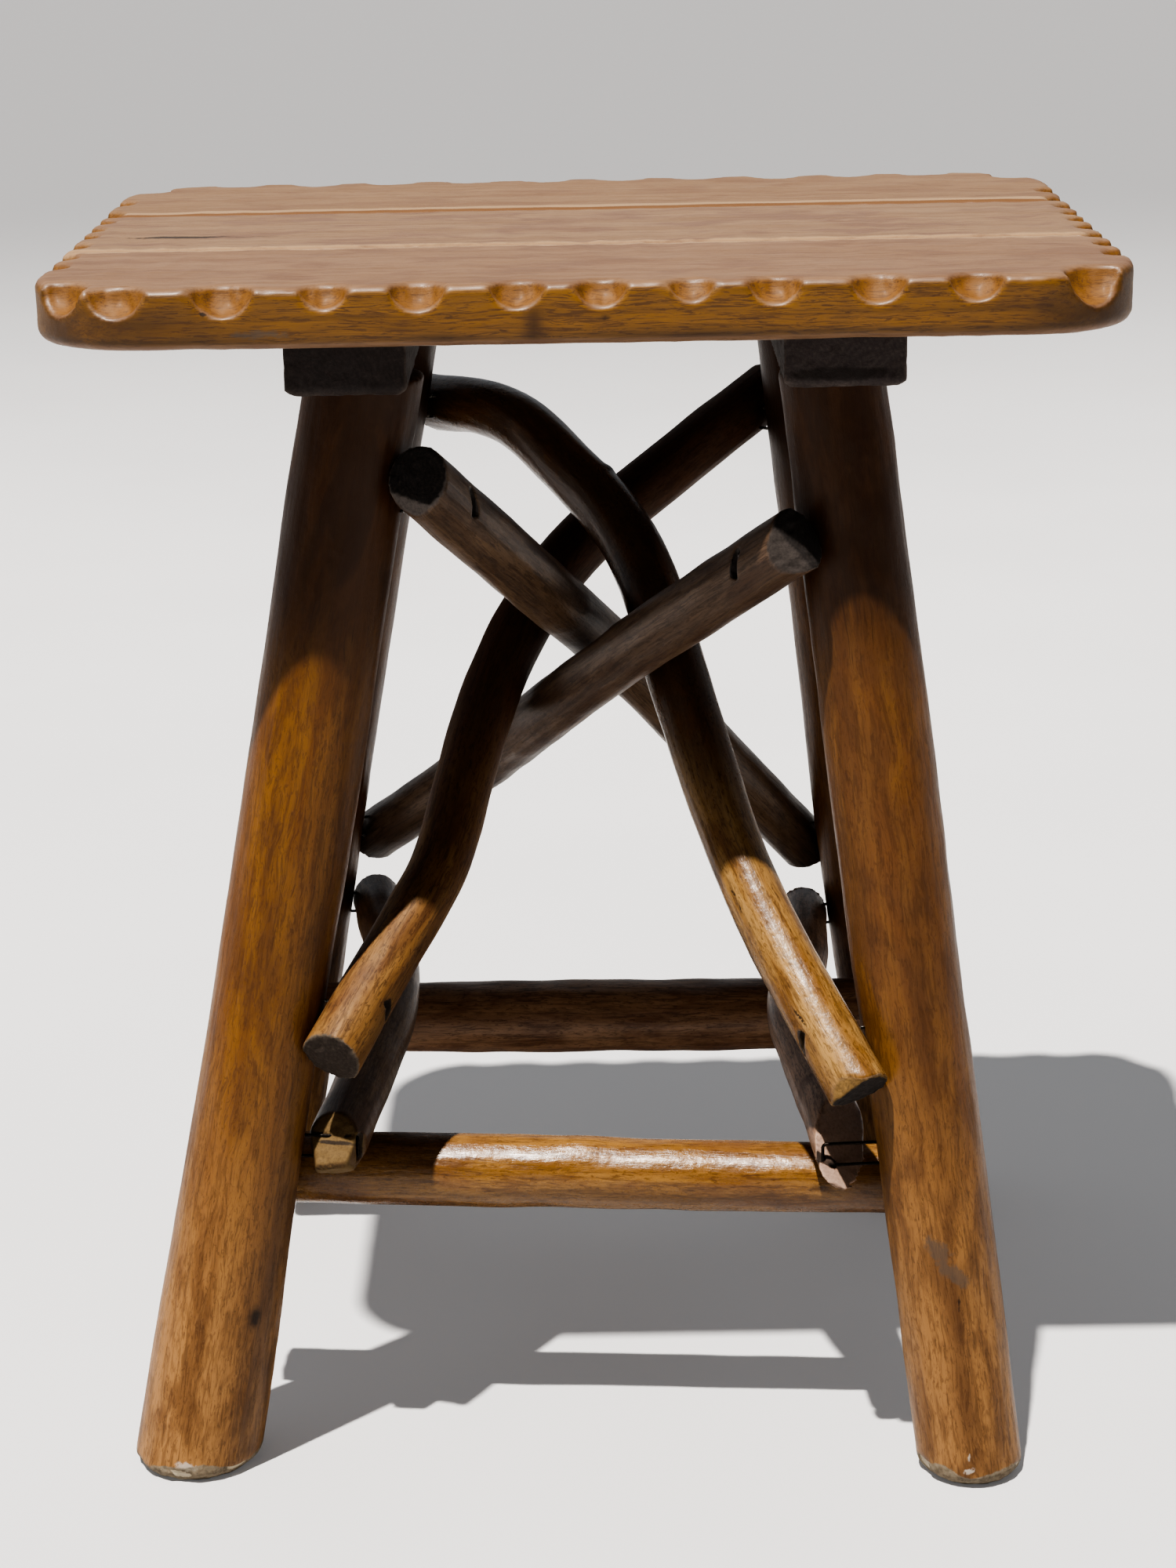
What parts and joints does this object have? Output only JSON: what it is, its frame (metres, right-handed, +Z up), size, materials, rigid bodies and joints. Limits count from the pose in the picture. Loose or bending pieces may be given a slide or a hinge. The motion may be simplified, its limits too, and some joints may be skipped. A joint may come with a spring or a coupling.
{
  "type": "stool",
  "caption": "Rustic pole stool with a scooped-edge board seat, splayed round legs, lapped stretchers and crossing bent branches.",
  "frame": {"origin": "on the floor, under the middle of the seat", "axes": "+X to the right in the front view, +Y to the rear, +Z up"},
  "size_m": [0.392, 0.3252, 0.464],
  "materials": {
    "seat_board": "varnished honey brown, satin, worn",
    "cleat_wood": "dark stained, flat, shaded",
    "leg_wood": "varnished honey brown pole, satin gloss",
    "stretcher_wood": "varnished mid brown pole, satin gloss",
    "rail_wood": "varnished dark brown pole, satin gloss",
    "branch_wood": "varnished dark red-brown branch, gloss",
    "fixing_steel": "dull steel"
  },
  "bodies": {
    "root": {"front_board": "seat_board", "middle_board": "seat_board", "rear_board": "seat_board", "left_cleat": "cleat_wood", "right_cleat": "cleat_wood", "front_left_leg": "leg_wood", "front_right_leg": "leg_wood", "rear_left_leg": "leg_wood", "rear_right_leg": "leg_wood", "front_stretcher": "stretcher_wood", "rear_stretcher": "stretcher_wood", "left_side_rail": "rail_wood", "right_side_rail": "rail_wood", "front_left_branch": "branch_wood", "front_right_branch": "branch_wood", "rear_left_branch": "branch_wood", "rear_right_branch": "branch_wood", "stretcher_staples": "fixing_steel", "rail_staples": "fixing_steel", "branch_staples": "fixing_steel", "leg_nails": "fixing_steel", "seat_screws": "fixing_steel"}
  },
  "joints": []
}
